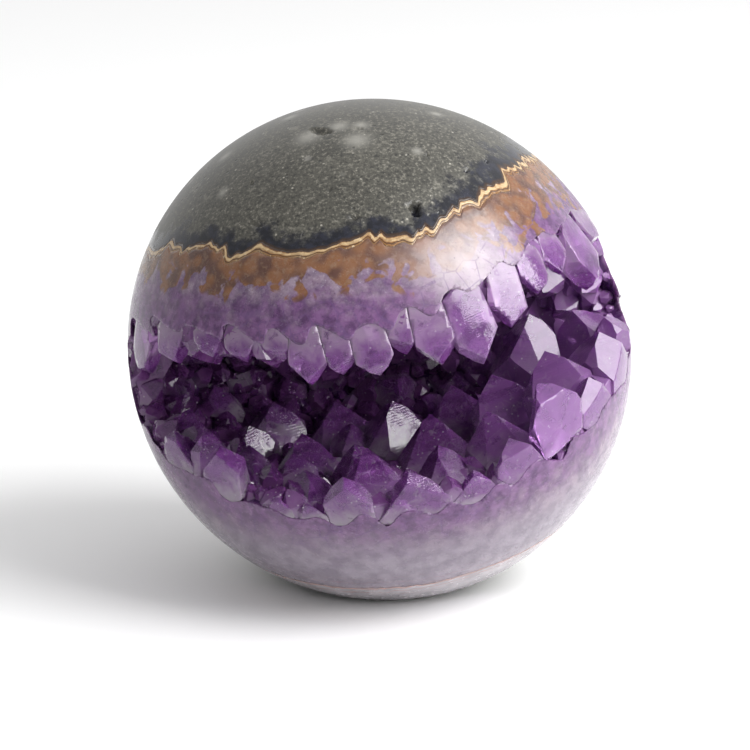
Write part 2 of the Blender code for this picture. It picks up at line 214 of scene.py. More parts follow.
class Nodes:
    """Nodes of a material or an effect, set down and joined in the order that light meets them."""

    def __init__(self, tree):
        self.nodes, self.links = tree.nodes, tree.links
        self.place = self.nodes.new("ShaderNodeTexCoord").outputs["Object"]

    def feed(self, socket, value):
        if isinstance(value, bpy.types.NodeSocket):
            self.links.new(value, socket)
        elif isinstance(value, tuple) and len(value) == 3 and len(socket.default_value) == 4:
            socket.default_value = (*value, 1)
        else:
            socket.default_value = value

    def attribute(self, name, output="Fac"):
        node = self.nodes.new("ShaderNodeAttribute")
        node.attribute_name = name
        return node.outputs[output]

    def split(self, vector):
        node = self.nodes.new("ShaderNodeSeparateXYZ")
        self.feed(node.inputs["Vector"], vector)
        return node.outputs

    def stretched(self, vector, scale, turn=(0, 0, 0)):
        node = self.nodes.new("ShaderNodeMapping")
        self.feed(node.inputs["Vector"], vector)
        node.inputs["Scale"].default_value = scale
        node.inputs["Rotation"].default_value = turn
        return node.outputs["Vector"]

    def noise(self, size, detail=4.0, roughness=0.55, distortion=0.0, vector=None):
        """Soft cloudy noise from 0 to 1, with features of this size in mm."""
        node = self.nodes.new("ShaderNodeTexNoise")
        self.feed(node.inputs["Vector"], vector or self.place)
        node.inputs["Scale"].default_value = 1 / (size * MM)
        node.inputs["Detail"].default_value = detail
        node.inputs["Roughness"].default_value = roughness
        node.inputs["Distortion"].default_value = distortion
        return node.outputs["Fac"]

    def cells(self, size, feature="F1", randomness=1.0, vector=None, output="Distance"):
        """Grains of this size in mm: distance from each middle, or from the edges between."""
        node = self.nodes.new("ShaderNodeTexVoronoi")
        node.feature = feature
        self.feed(node.inputs["Vector"], vector or self.place)
        node.inputs["Scale"].default_value = 1 / (size * MM)
        node.inputs["Randomness"].default_value = randomness
        return node.outputs[output]

    def math(self, operation, *values):
        node = self.nodes.new("ShaderNodeMath")
        node.operation = operation
        for socket, value in zip(node.inputs, values):
            self.feed(socket, value)
        return node.outputs[0]

    def ramp(self, value, low, high, to_low=0.0, to_high=1.0, smooth=True):
        """value's stretch from low to high, carried to to_low..to_high."""
        node = self.nodes.new("ShaderNodeMapRange")
        node.interpolation_type = "SMOOTHSTEP" if smooth else "LINEAR"
        for name, number in (
            ("Value", value),
            ("From Min", low),
            ("From Max", high),
            ("To Min", to_low),
            ("To Max", to_high),
        ):
            self.feed(node.inputs[name], number)
        return node.outputs["Result"]

    def mix(self, share, first, second, blend="MIX"):
        node = self.nodes.new("ShaderNodeMix")
        node.data_type = "RGBA"
        node.blend_type = blend
        self.feed(node.inputs["Factor"], share)
        self.feed(node.inputs[6], first)
        self.feed(node.inputs[7], second)
        return node.outputs[2]

    def bump(self, height, depth, strength):
        """Relief this many mm deep for heights from 0 to 1."""
        node = self.nodes.new("ShaderNodeBump")
        node.inputs["Strength"].default_value = strength
        node.inputs["Distance"].default_value = depth * MM
        self.feed(node.inputs["Height"], height)
        return node.outputs["Normal"]


class Effect(Nodes):
    """A node group that more than one material uses, its inputs named with a first value each."""

    KINDS = {"RGBA": "NodeSocketColor", "VALUE": "NodeSocketFloat", "VECTOR": "NodeSocketVector"}

    def __init__(self, name, **inputs):
        self.tree = bpy.data.node_groups.new(name, "ShaderNodeTree")
        super().__init__(self.tree)
        for title, value in inputs.items():
            kind = self.KINDS["RGBA" if isinstance(value, tuple) else "VALUE"]
            self.tree.interface.new_socket(title.title(), in_out="INPUT", socket_type=kind)
        self.given = self.nodes.new("NodeGroupInput").outputs

    def give(self, **outputs):
        """Ends the group with these outputs, so that it can be set down in materials."""
        for title, socket in outputs.items():
            kind = self.KINDS[socket.type]
            self.tree.interface.new_socket(title.title(), in_out="OUTPUT", socket_type=kind)
        end = self.nodes.new("NodeGroupOutput")
        for title, socket in outputs.items():
            self.links.new(socket, end.inputs[title.title()])
        return self


class Shader(Nodes):
    """A material and its one surface."""

    def __init__(self, name):
        self.material = bpy.data.materials.new(name)
        self.material.use_nodes = True
        super().__init__(self.material.node_tree)
        self.surface = self.nodes["Principled BSDF"]

    def set(self, **values):
        """Sets the surface's sockets: base_color=... sets Base Color."""
        for name, value in values.items():
            title = name.replace("_", " ").title().replace("Ior", "IOR")
            self.feed(self.surface.inputs[title], value)

    def use(self, effect, **values):
        """Sets an effect down with these values. Its colour, roughness and normal come out."""
        node = self.nodes.new("ShaderNodeGroup")
        node.node_tree = effect.tree
        for title, value in values.items():
            self.feed(node.inputs[title.title()], value)
        self.set(base_color=node.outputs["Colour"], roughness=node.outputs["Roughness"])
        self.set(normal=node.outputs["Normal"])


def basalt_effect():
    """Fine speckled lava with faint flow streaks, blue-black beside the agate."""
    m = Effect("basalt skin", olive=(0, 0, 0), dark=(0, 0, 0), width=0.0)
    olive, dark, width = m.given["Olive"], m.given["Dark"], m.given["Width"]
    to_agate = m.attribute("to_agate")
    cloud = m.noise(14, 3)
    streaks = m.noise(5, 4, 0.6, 0.8, m.stretched(m.place, (0.35, 1.6, 3.0), (0, 0.22, 0.4)))
    darker = m.mix(1.0, olive, (0.74, 0.74, 0.74), "MULTIPLY")
    colour = m.mix(m.ramp(cloud, 0.35, 0.68), olive, darker)
    colour = m.mix(m.ramp(streaks, 0.52, 0.72, 0, 0.30), colour, (0.11, 0.105, 0.085))
    speck = m.noise(0.55, 4, 0.75)
    colour = m.mix(m.ramp(speck, 0.53, 0.63, 0, 0.85), colour, (0.175, 0.165, 0.138))
    colour = m.mix(m.ramp(speck, 0.47, 0.37, 0, 0.85), colour, (0.014, 0.014, 0.013))
    crystals = m.ramp(m.cells(1.3), 0.20, 0.08, 0, 0.8)
    scattered = m.ramp(m.noise(1.7, 4, 0.7), 0.50, 0.62)
    colour = m.mix(m.math("MULTIPLY", crystals, scattered), colour, (0.38, 0.36, 0.31))
    smear = m.ramp(m.noise(2.4, 5, 0.7, 0.6), 0.58, 0.70, 0, 0.45)
    colour = m.mix(smear, colour, (0.19, 0.18, 0.15))
    colour = m.mix(m.attribute("pale"), colour, (0.30, 0.29, 0.26))
    amygdales = m.cells(8.5)
    colour = m.mix(m.ramp(amygdales, 0.13, 0.05, 0, 0.6), colour, (0.24, 0.23, 0.21))
    ragged = m.math("ADD", to_agate, m.ramp(m.noise(3.2, 5, 0.65), 0.3, 0.7, -1.8, 2.2, False))
    selvage = m.ramp(ragged, width, m.math("MULTIPLY", width, 0.35))
    brighter = m.mix(1.0, dark, (2.4, 2.4, 2.4), "MULTIPLY")
    glass = m.mix(m.ramp(m.noise(1.4, 4), 0.4, 0.65), dark, brighter)
    colour = m.mix(selvage, colour, glass)
    rim = m.ramp(to_agate, 0.55, 0.15)
    colour = m.mix(rim, colour, (0.035, 0.018, 0.010))
    # Small pits, painted dark: painted shade in their hollows.
    pits = m.ramp(m.cells(2.6), 0.13, 0.05)
    colour = m.mix(m.math("MULTIPLY", pits, 0.6), colour, (0.02, 0.02, 0.018))
    dull = m.ramp(speck, 0.3, 0.7, 0.30, 0.46, False)
    gloss = m.math("SUBTRACT", dull, m.math("MULTIPLY", selvage, 0.24))
    relief = m.math("SUBTRACT", m.math("MULTIPLY", speck, 0.25), pits)
    return m.give(colour=colour, roughness=gloss, normal=m.bump(relief, 0.12, 0.55))


# Gas bubbles: bearing, height over the centre, half sizes across, up and in, and their slant
BUBBLES = (
    (-42, 37.8, 2.3, 1.0, 0.8, 0.10),
    (-17, 38.4, 0.9, 0.5, 0.4, 0.0),
    (11.5, 29.3, 0.95, 1.5, 1.5, 0.3),
    (-50, 31.0, 0.5, 0.35, 0.4, 0.0),
    (-18, 31.5, 0.4, 0.3, 0.35, 0.0),
    (24, 35.5, 0.45, 0.3, 0.35, 0.5),
    (52, 33.6, 0.5, 0.4, 0.35, 0.0),
    (128, 33.2, 1.3, 0.7, 0.8, 0.2),
    (172, 32.4, 0.7, 0.5, 0.6, 0.0),
    (215, 29.5, 1.0, 0.6, 0.7, -0.3),
    (252, 27.0, 0.6, 0.5, 0.5, 0.0),
    (-8, 28.2, 0.9, 0.45, 0.5, 0.2),
    (-38, 26.2, 1.3, 0.4, 0.5, 0.1),
    (38, 33.2, 0.7, 0.4, 0.5, 0.4),
)


def bubble_dents(points):
    """How deep the open bubbles and chips go at these points of the ground face."""
    depth = np.zeros(len(points))
    for bearing, height, across, up, inward, slant in BUBBLES:
        heading, middle = place_on_face(bearing, height)
        level = np.cross((0, 0, 1), heading)
        level /= np.linalg.norm(level)
        upward = np.cross(heading, level)
        offset = points - middle
        x, y = offset @ level, offset @ upward
        x, y = x * math.cos(slant) + y * math.sin(slant), y * math.cos(slant) - x * math.sin(slant)
        turn = np.arctan2(y, x)
        wobble = 1 + 0.16 * np.sin(3 * turn + math.radians(bearing))
        wobble += 0.1 * np.sin(7 * turn + height)
        reach = np.sqrt((x / across) ** 2 + (y / up) ** 2) / wobble
        near = (offset @ heading > -5) & (reach < 1)
        depth[near] = np.maximum(depth[near], inward * (1 - reach[near] ** 2.5))
    return depth


# Paler spots of filled bubbles: bearing, height over the centre, and reach
PALE_SPOTS = (
    (-46, 37.1, 1.9), (-34, 38.5, 1.5), (-17, 38.7, 1.3), (-14, 37.3, 1.9), (-83, 32.3, 1.2),
    (-92, 37.8, 1.2), (80, 38.8, 1.0), (20, 36.0, 0.8), (-60, 29.0, 0.9), (150, 33.0, 1.5),
)  # fmt: skip


def paleness(points):
    """How far into a pale spot each point lies, from 0 to 1."""
    found = np.zeros(len(points))
    for bearing, height, reach in PALE_SPOTS:
        away = np.linalg.norm(points - place_on_face(bearing, height)[1], axis=1)
        found = np.maximum(found, 0.65 * np.exp(-((away / reach) ** 2)))
    return found


BASALT_OLIVE = (0.062, 0.059, 0.049)
BASALT_DARK = (0.0065, 0.0070, 0.0115)
basalt_skin = basalt_effect()
cap_basalt = Shader("cap basalt")
cap_basalt.use(basalt_skin, olive=BASALT_OLIVE, dark=BASALT_DARK, width=3.6)
around = np.linspace(0, math.tau, COLUMNS, endpoint=False)
cap_edge = rind_top(around)
basalt_cap = ground_layer(
    "basalt_cap_face", cap_basalt.material, None, cap_edge, 118, bubble_dents
)
spots = points_of(basalt_cap)
add_attribute(basalt_cap, "to_agate", spots[:, 2] - rind_top(bearings_of(spots)))
add_attribute(basalt_cap, "pale", paleness(spots))
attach(basalt_cap, "root")
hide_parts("basalt_cap")

# Upper agate rind: the first thing that grew on the lava, a thin ribbon of tan and gold agate in
# fine lines, folded into small teeth. It is ground flush with the basalt over it.

RIND_THICKNESS = 0.95
AGATE_TAN = (0.26, 0.165, 0.085)
AGATE_GOLD = (0.22, 0.105, 0.035)
AGATE_BROWN = (0.050, 0.020, 0.010)


def rind_thickness(bearings):
    return RIND_THICKNESS + 0.22 * np.sin(9 * bearings + 1) + 0.16 * np.sin(31 * bearings)


def rind_foot(bearings):
    """The lower edge of the upper rind, its teeth a little out of step with those above."""
    return edge_heights(CAP_EDGE, bearings, CAP_TEETH, 0.9) - rind_thickness(bearings)


def agate_material(name, light, warm, line):
    m = Shader(name)
    across = m.attribute("across")
    wander = m.ramp(m.noise(1.6, 3), 0.3, 0.7, -0.10, 0.10, False)
    level = m.math("ADD", across, wander)
    lines = m.math("SINE", m.math("MULTIPLY", level, 21.0))
    colour = m.mix(m.ramp(m.noise(4.0, 3), 0.4, 0.6), light, warm)
    colour = m.mix(m.ramp(lines, 0.1, 0.9, 0, 0.55), colour, tuple(0.45 * c for c in warm))
    colour = m.mix(m.ramp(m.noise(0.7, 3), 0.58, 0.7, 0, 0.6), colour, (0.68, 0.55, 0.38))
    cream = m.math("MULTIPLY", m.ramp(level, 0.10, 0.24), m.ramp(level, 0.58, 0.46))
    cream = m.math("MULTIPLY", cream, m.ramp(m.noise(1.1, 3), 0.35, 0.55, 0.35, 0.9))
    colour = m.mix(cream, colour, (0.50, 0.36, 0.20))
    outer = m.ramp(level, 0.16, 0.04)
    inner = m.math("MULTIPLY", m.ramp(level, 0.58, 0.68), m.ramp(level, 0.84, 0.74, 0, 0.8))
    m.set(base_color=m.mix(m.math("MAXIMUM", outer, inner), colour, line))
    m.set(roughness=m.ramp(m.noise(1.0, 2), 0.3, 0.7, 0.16, 0.32, False))
    m.set(normal=m.bump(lines, 0.03, 0.5))
    return m.material


rind_edge = rind_foot(around)
upper_rind = ground_layer(
    "upper_agate_ribbon",
    agate_material("ribbon agate", AGATE_TAN, AGATE_GOLD, AGATE_BROWN),
    cap_edge,
    rind_edge,
    6,
)
spots = points_of(upper_rind)
turns = bearings_of(spots)
over = rind_top(turns)
add_attribute(upper_rind, "across", (over - spots[:, 2]) / (over - rind_foot(turns)))
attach(upper_rind, "root")
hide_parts("upper_agate_rind")

# Amethyst wall: quartz that filled the geode from the agate inward. It starts stained orange by
# rust, turns to lavender-grey grain, and ends in the cavity. The ball's face is polished.

# Where milky quartz comes to the ball's face under the rind, painted whiter there also as a painted
# highlight of the key light
FROST_AND_HIGHLIGHT_MIDDLE = (12.5, -30.5, 21.5)
FROST_AND_HIGHLIGHT_REACH = (7.5, 7.5, 4.5)
# The bearing at which the rust under the rind is thickest
RUST_BEARING = math.radians(62)
# The top of the lower rind, as bearing and height
WALL_FOOT = (
    (-60, -32.6), (-43, -32.8), (-12, -32.9), (18, -31.8), (38, -29.4), (60, -26.8), (73, -25.8),
    (90, -22.6), (120, -17.6), (150, -15.2), (180, -15.9), (210, -19.4), (240, -25.0),
    (270, -30.0), (290, -32.0),
)  # fmt: skip
CAVITY_CENTRE = Vector((7.0, -22.0, -4.5))
CAVITY_RADII = Vector((50.0, 36.0, 16.0))
CAVITY_SQUARENESS = 2.6
MEAN_CAVITY_RADIUS = 18
SMILE_MIDDLE = 2.0
SMILE_RISE = 6.5
SMILE_REACH = 32.0
LUMPS = 2.2
BEDDING_NORMAL = Vector((-0.219, 0.075, 0.973)).normalized()


def wall_foot(bearings):
    """The lower edge of the wall, where the lower rind starts."""
    return edge_heights(WALL_FOOT, bearings, 0.12, 0.7)


def bedding():
    """The turn from the bedding frame (along, back, up) to the object's frame."""
    along = (Vector((1, 0, 0)) - BEDDING_NORMAL.x * BEDDING_NORMAL).normalized()
    back = BEDDING_NORMAL.cross(along)
    return Matrix((along, back, BEDDING_NORMAL)).transposed()


def smile(along):
    """How far the cavity's middle has risen, this far along the bedding."""
    return SMILE_RISE * ((along - SMILE_MIDDLE) / SMILE_REACH) ** 2


def cavity_level(bedded):
    """1 on the cavity's wall, less inside it, at points of the bedding frame in mm."""
    bedded = bedded - np.outer(smile(bedded[:, 0]), (0, 0, 1))
    shares = np.abs((bedded - CAVITY_CENTRE) / np.array(CAVITY_RADII))
    return np.sum(shares**CAVITY_SQUARENESS, axis=1) ** (1 / CAVITY_SQUARENESS)


def cavity_mesh(segments, rings, lumps):
    """The cavity as a closed mesh in mm, its face lumpy with half-buried crystals."""
    bm = bmesh.new()
    bmesh.ops.create_uvsphere(bm, u_segments=segments, v_segments=rings, radius=1)
    turn = bedding()
    for vert in bm.verts:
        unit = vert.co / sum(abs(share) ** CAVITY_SQUARENESS for share in vert.co) ** (
            1 / CAVITY_SQUARENESS
        )
        spot = CAVITY_CENTRE + unit * CAVITY_RADII
        lump = 0.4 * math.sin(0.9 * spot.x + 0.7 * spot.z)
        lump += noise.voronoi(spot * 0.21)[0][0] - 0.5
        spot += unit * (lumps * lump)
        spot.z += smile(spot.x)
        vert.co = turn @ spot
    return bm


def as_object(name, bm):
    """The bmesh (mm round the ball's centre) as an object in metres, out of the way."""
    bmesh.ops.scale(bm, vec=(MM, MM, MM), verts=bm.verts)
    bmesh.ops.translate(bm, vec=(0, 0, BALL_CENTRE * MM), verts=bm.verts)
    mesh = bpy.data.meshes.new(name)
    bm.to_mesh(mesh)
    bm.free()
    made = bpy.data.objects.new(name, mesh)
    bpy.context.scene.collection.objects.link(made)
    return made


def settle(piece):
    """Makes what the piece's modifiers give its own mesh, and removes them."""
    graph = bpy.context.evaluated_depsgraph_get()
    mesh = bpy.data.meshes.new_from_object(piece.evaluated_get(graph))
    piece.modifiers.clear()
    old = piece.data
    piece.data = mesh
    bpy.data.meshes.remove(old)


def carve(piece, operation, tool):
    """Applies a boolean with tool to piece's mesh."""
    modifier = piece.modifiers.new("carve", "BOOLEAN")
    modifier.operation = operation
    modifier.solver = "MANIFOLD"
    modifier.object = tool
    settle(piece)


def quartz_grain(m, pale, purple):
    """Lavender quartz in grains that catch the light apart from each other."""
    grain = m.cells(0.75, output="Color")
    lumps = m.cells(2.3, "SMOOTH_F1", vector=m.stretched(m.place, (1.0, 1.0, 0.75)))
    lumps = m.ramp(lumps, 0.15, 0.75, -0.10, 0.10, False)
    tone = m.math("ADD", m.noise(2.2, 5, 0.62), lumps)
    colour = m.mix(m.ramp(tone, 0.40, 0.62), pale, purple)
    fine = m.noise(0.32, 3, 0.7)
    colour = m.mix(m.ramp(fine, 0.58, 0.70, 0, 0.45), colour, (0.52, 0.47, 0.54))
    colour = m.mix(m.ramp(fine, 0.42, 0.32, 0, 0.55), colour, tuple(0.35 * c for c in purple))
    return m.mix(0.20, colour, m.mix(grain, tuple(0.6 * c for c in pale), (0.55, 0.50, 0.57)))


def wall_material(name):
    """From the rind inward: rust, grey grain, lavender; clear and pale toward the foot."""
    m = Shader(name)
    below = m.attribute("below_rind")
    above = m.attribute("above_foot")
    inward = m.attribute("to_cavity")
    colour = quartz_grain(m, (0.215, 0.152, 0.200), (0.068, 0.030, 0.080))
    mottle = m.ramp(m.noise(3.0, 4, 0.6, 0.5), 0.35, 0.65, -1, 1, False)
    depth = m.math("ADD", inward, m.math("MULTIPLY", mottle, 2.5))
    veil = m.ramp(m.noise(1.1, 5, 0.7), 0.5, 0.68, 0, 0.5)
    colour = m.mix(m.math("MULTIPLY", veil, m.ramp(above, 10, 24)), colour, (0.26, 0.205, 0.265))
    # the foot's clearer quartz, with thin pinkish lines along the rind
    foot = m.ramp(m.math("ADD", above, m.math("MULTIPLY", mottle, 1.6)), 17, 5)
    pale = m.mix(m.ramp(m.noise(2.6, 4), 0.35, 0.65), (0.160, 0.132, 0.172), (0.24, 0.205, 0.252))
    colour = m.mix(foot, colour, pale)
    cloud = m.ramp(m.noise(1.7, 5, 0.65), 0.35, 0.65)
    purple = m.mix(cloud, (0.050, 0.012, 0.070), (0.150, 0.062, 0.176))
    near_lip = m.math("MULTIPLY", m.ramp(depth, 10.5, 1.0), m.ramp(foot, 0, 1, 0.88, 0.25))
    colour = m.mix(near_lip, colour, purple)
    level = m.math("ADD", above, m.math("MULTIPLY", mottle, 0.22))
    lines = m.math("SINE", m.math("MULTIPLY", level, 5.2))
    lines = m.math("MULTIPLY", m.ramp(lines, 0.90, 1.0), m.ramp(above, 4.2, 0.6, 0, 0.5))
    colour = m.mix(lines, colour, (0.27, 0.14, 0.15))
    # rust: blobs close under the rind, thickest on the right
    right = m.attribute("rust")
    reach = m.math("MULTIPLY", m.ramp(m.noise(3.4, 3, 0.5, 0.6), 0.34, 0.64, 1.4, 6.2), right)
    rust = m.ramp(m.math("SUBTRACT", below, reach), 0.7, -0.5)
    blobs = m.ramp(m.cells(2.2, "SMOOTH_F1"), 0.62, 0.30)
    rust_colour = m.mix(blobs, (0.075, 0.030, 0.011), (0.175, 0.072, 0.018))
    dust = m.ramp(m.noise(0.8, 3), 0.50, 0.68, 0, 0.5)
    rust_colour = m.mix(dust, rust_colour, (0.20, 0.125, 0.070))
    colour = m.mix(m.math("MULTIPLY", rust, 0.88), colour, rust_colour)
    # Milky quartz under the rind, its white partly a painted highlight of the key light.
    frost_and_highlight = m.math("MULTIPLY", m.attribute("frost_and_highlight"), m.ramp(m.noise(2.4, 4), 0.25, 0.6, 0.5, 1.0))
    colour = m.mix(frost_and_highlight, colour, (0.43, 0.375, 0.395))
    shards = m.cells(2.0, "DISTANCE_TO_EDGE", vector=m.stretched(m.place, (1.0, 1.0, 0.7)))
    cracks = m.ramp(shards, 0.06, 0.015)
    broken = m.math("MULTIPLY", m.ramp(m.noise(2.0, 4, 0.7), 0.50, 0.60, 0, 0.6), frost_and_highlight)
    colour = m.mix(m.math("MULTIPLY", cracks, broken), colour, (0.13, 0.085, 0.11))
    # outlines of the crystals that the polished face cuts across
    sutures = m.ramp(m.cells(3.4, "DISTANCE_TO_EDGE", 0.9), 0.045, 0.012)
    near = m.ramp(depth, 7.0, 1.0, 0, 0.55)
    colour = m.mix(m.math("MULTIPLY", sutures, near), colour, (0.10, 0.05, 0.14))
    flaws = m.ramp(m.cells(1.9), 0.10, 0.04, 0, 0.5)
    colour = m.mix(m.math("MULTIPLY", flaws, m.ramp(above, 12, 20)), colour, (0.07, 0.05, 0.08))
    # the cavity's own wall is deep purple
    hidden = m.ramp(m.attribute("under_polish"), 0.2, 0.8)
    m.set(base_color=m.mix(hidden, colour, (0.050, 0.014, 0.075)))
    gloss = m.ramp(m.noise(1.2, 3), 0.35, 0.7, 0.13, 0.34, False)
    m.set(roughness=m.math("ADD", gloss, m.math("MULTIPLY", frost_and_highlight, 0.25)))
    m.set(subsurface_weight=0.25, subsurface_radius=(1.0, 0.8, 1.0), subsurface_scale=1.6 * MM)
    grain = m.math("ADD", m.math("MULTIPLY", m.cells(0.75), 0.5), m.noise(0.5, 2))
    m.set(normal=m.bump(m.math("SUBTRACT", grain, m.math("MULTIPLY", sutures, near)), 0.03, 0.25))
    return m.material


def wall_facts(piece):
    """How far each point lies below the rind, above the foot and outside the cavity, in mm."""
    spots = points_of(piece)
    turns = bearings_of(spots)
    add_attribute(piece, "below_rind", rind_foot(turns) - spots[:, 2])
    add_attribute(piece, "above_foot", spots[:, 2] - wall_foot(turns))
    outside = cavity_level(spots @ np.array(bedding())) - 1
    add_attribute(piece, "to_cavity", outside * MEAN_CAVITY_RADIUS)
    facing = np.cos(turns - RUST_BEARING)
    add_attribute(piece, "rust", 0.95 + 0.40 * np.clip(facing, 0, 1) ** 2)
    lengths, radii = from_centre(spots)
    add_attribute(piece, "under_polish", radii - lengths)
    away = (spots - FROST_AND_HIGHLIGHT_MIDDLE) / FROST_AND_HIGHLIGHT_REACH
    add_attribute(piece, "frost_and_highlight", 0.85 * np.exp(-np.sum(away**2, axis=1)))


wall_edge = wall_foot(around)
quartz = wall_material("geode quartz")
amethyst_wall = ground_layer("amethyst_wall_body", quartz, rind_edge, wall_edge, 120)
cavity = as_object("cavity_tool", cavity_mesh(280, 160, LUMPS))
carve(amethyst_wall, "DIFFERENCE", cavity)
bpy.data.objects.remove(cavity)
wall_facts(amethyst_wall)
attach(amethyst_wall, "root")
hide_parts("amethyst_wall")

# Lower rind: the same first growth under the wall, here a finger's width of grey chalcedony that
# starts with a few thin pink-brown lines.

FOOT_EDGE = (
    (-60, -36.8), (-20, -37.2), (23, -37.2), (45, -36.8), (54, -36.2), (60, -35.2), (67, -33.2),
    (73, -30.8), (90, -26.8), (120, -22.0), (150, -19.6), (180, -20.3), (210, -23.8),
    (240, -29.2), (270, -34.0), (290, -36.0),
)  # fmt: skip


def foot_top(bearings):
    """The upper edge of the basalt foot, where the lower rind ends."""
    return edge_heights(FOOT_EDGE, bearings, 0.22, 1.9)


def chalcedony_material(name):
    m = Shader(name)
    depth = m.attribute("below_wall")
    wander = m.math("ADD", depth, m.ramp(m.noise(4.0, 3), 0.3, 0.7, -0.35, 0.35, False))
    lines = m.ramp(m.math("SINE", m.math("MULTIPLY", wander, 6.5)), 0.72, 1.0)
    fade = m.ramp(depth, 3.6, 0.0)
    colour = m.mix(m.ramp(m.noise(5.0, 4), 0.35, 0.65), (0.40, 0.37, 0.40), (0.27, 0.25, 0.275))
    colour = m.mix(m.math("MULTIPLY", lines, fade), colour, (0.36, 0.19, 0.17))
    colour = m.mix(m.ramp(depth, 0.30, 0.08, 0, 0.8), colour, (0.42, 0.24, 0.20))
    colour = m.mix(m.ramp(m.noise(0.5, 3), 0.6, 0.72, 0, 0.4), colour, (0.14, 0.13, 0.14))
    m.set(base_color=colour)
    m.set(roughness=m.ramp(m.noise(1.5, 3), 0.3, 0.7, 0.16, 0.30, False))
    m.set(subsurface_weight=0.2, subsurface_radius=(1.0, 0.9, 0.9), subsurface_scale=1.2 * MM)
    m.set(normal=m.bump(m.noise(0.6, 3), 0.03, 0.2))
    return m.material


foot_edge = foot_top(around)
chalcedony = chalcedony_material("grey chalcedony")
lower_rind = ground_layer("lower_agate_band", chalcedony, wall_edge, foot_edge, 22)
spots = points_of(lower_rind)
add_attribute(lower_rind, "below_wall", wall_foot(bearings_of(spots)) - spots[:, 2])
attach(lower_rind, "root")
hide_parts("lower_agate_rind")

# Basalt foot: the lava under the geode, left rougher than the cap, with a flat ground on it so
# that the ball stands by itself.

foot_basalt = Shader("foot basalt")
foot_basalt.use(
    basalt_skin, olive=(0.055, 0.052, 0.046), dark=(0.020, 0.018, 0.020), width=2.0
)
foot = ground_layer("basalt_foot_face", foot_basalt.material, foot_edge, None, 84)
spots = points_of(foot)
add_attribute(foot, "to_agate", foot_top(bearings_of(spots)) - spots[:, 2])
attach(foot, "root")
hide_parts("basalt_foot")

# Crystals of the mouth: points of amethyst rooted in the wall, deepest in colour at the tip and
# milky at the root. Where the ball's face cuts across them they are polished flush with it.

TIP_FACE_ANGLE = math.radians(51.8)
CRYSTAL_LENGTH = 26.0
LESSER_FACE_OFFSET = 0.16
WIDTH_SPREAD = 0.09
CRYSTAL_GAP = 0.10
POLISH_PROUD = -0.0006

# Some floor crystals turn a large tip face the same way, as crystals of one growth do
COMMON_FACING = Vector((0.40, -0.74, 0.54))

# Given one by one: tip along, back and up in the bedding frame, half width (mm), lean, and whether
# a face turns the common way
ROOF_LIP = (
    (-35.0, -14.0, 6.6, 3.4, 0.20, 0.00, 0),
    (-29.6, -22.6, 8.6, 3.4, 0.20, 0.00, 0),
    (-23.6, -29.4, 9.4, 3.0, 0.15, 0.05, 0),
    (-18.7, -32.2, 8.3, 3.0, 0.10, 0.05, 0),
    (-13.2, -34.4, 7.6, 2.8, -0.10, 0.00, 0),
    (-9.6, -36.9, 3.6, 3.1, -0.04, 0.06, 0),
    (-4.6, -37.3, 4.2, 3.1, 0.05, 0.02, 0),
    (0.8, -38.0, 3.0, 3.2, 0.08, 0.00, 0),
    (5.4, -36.6, 5.0, 2.8, 0.00, 0.00, 0),
    (10.3, -36.2, 2.2, 3.5, 0.10, 0.03, 0),
    (16.4, -34.4, 0.6, 3.6, 0.10, 0.05, 0),
    (21.6, -31.3, 4.6, 2.8, -0.16, 0.00, 0),
    (26.6, -27.2, 8.0, 3.0, -0.12, 0.00, 0),
    (30.6, -22.3, 9.4, 3.0, -0.10, 0.00, 0),
    (34.2, -13.8, 4.6, 4.2, -0.12, 0.00, 0),
    (34.6, -3.5, 8.2, 4.2, -0.20, -0.05, 0),
)
FLOOR_LIP = (
    (-33.2, -19.5, -2.0, 3.9, 0.25, 0.00, 0),
    (-26.2, -27.2, -4.4, 5.6, 0.10, 0.10, 0),
    (-24.0, -29.8, -13.0, 3.0, 0.20, -0.10, 0),
    (-19.2, -30.9, -13.2, 3.1, 0.10, 0.00, 0),
    (-14.8, -33.2, -14.8, 3.2, 0.00, -0.10, 0),
    (-8.4, -34.4, -11.8, 4.1, 0.05, 0.00, 0),
    (1.6, -35.2, -13.0, 6.4, 0.02, -0.04, 0),
    (11.2, -34.0, -15.2, 4.3, 0.00, 0.00, 0),
    (17.6, -30.8, -12.2, 5.1, -0.10, 0.00, 0),
    (23.6, -27.6, -5.4, 6.8, -0.34, 0.12, 0),
    (31.6, -20.6, -7.6, 6.2, 0.14, -0.24, 1),
)
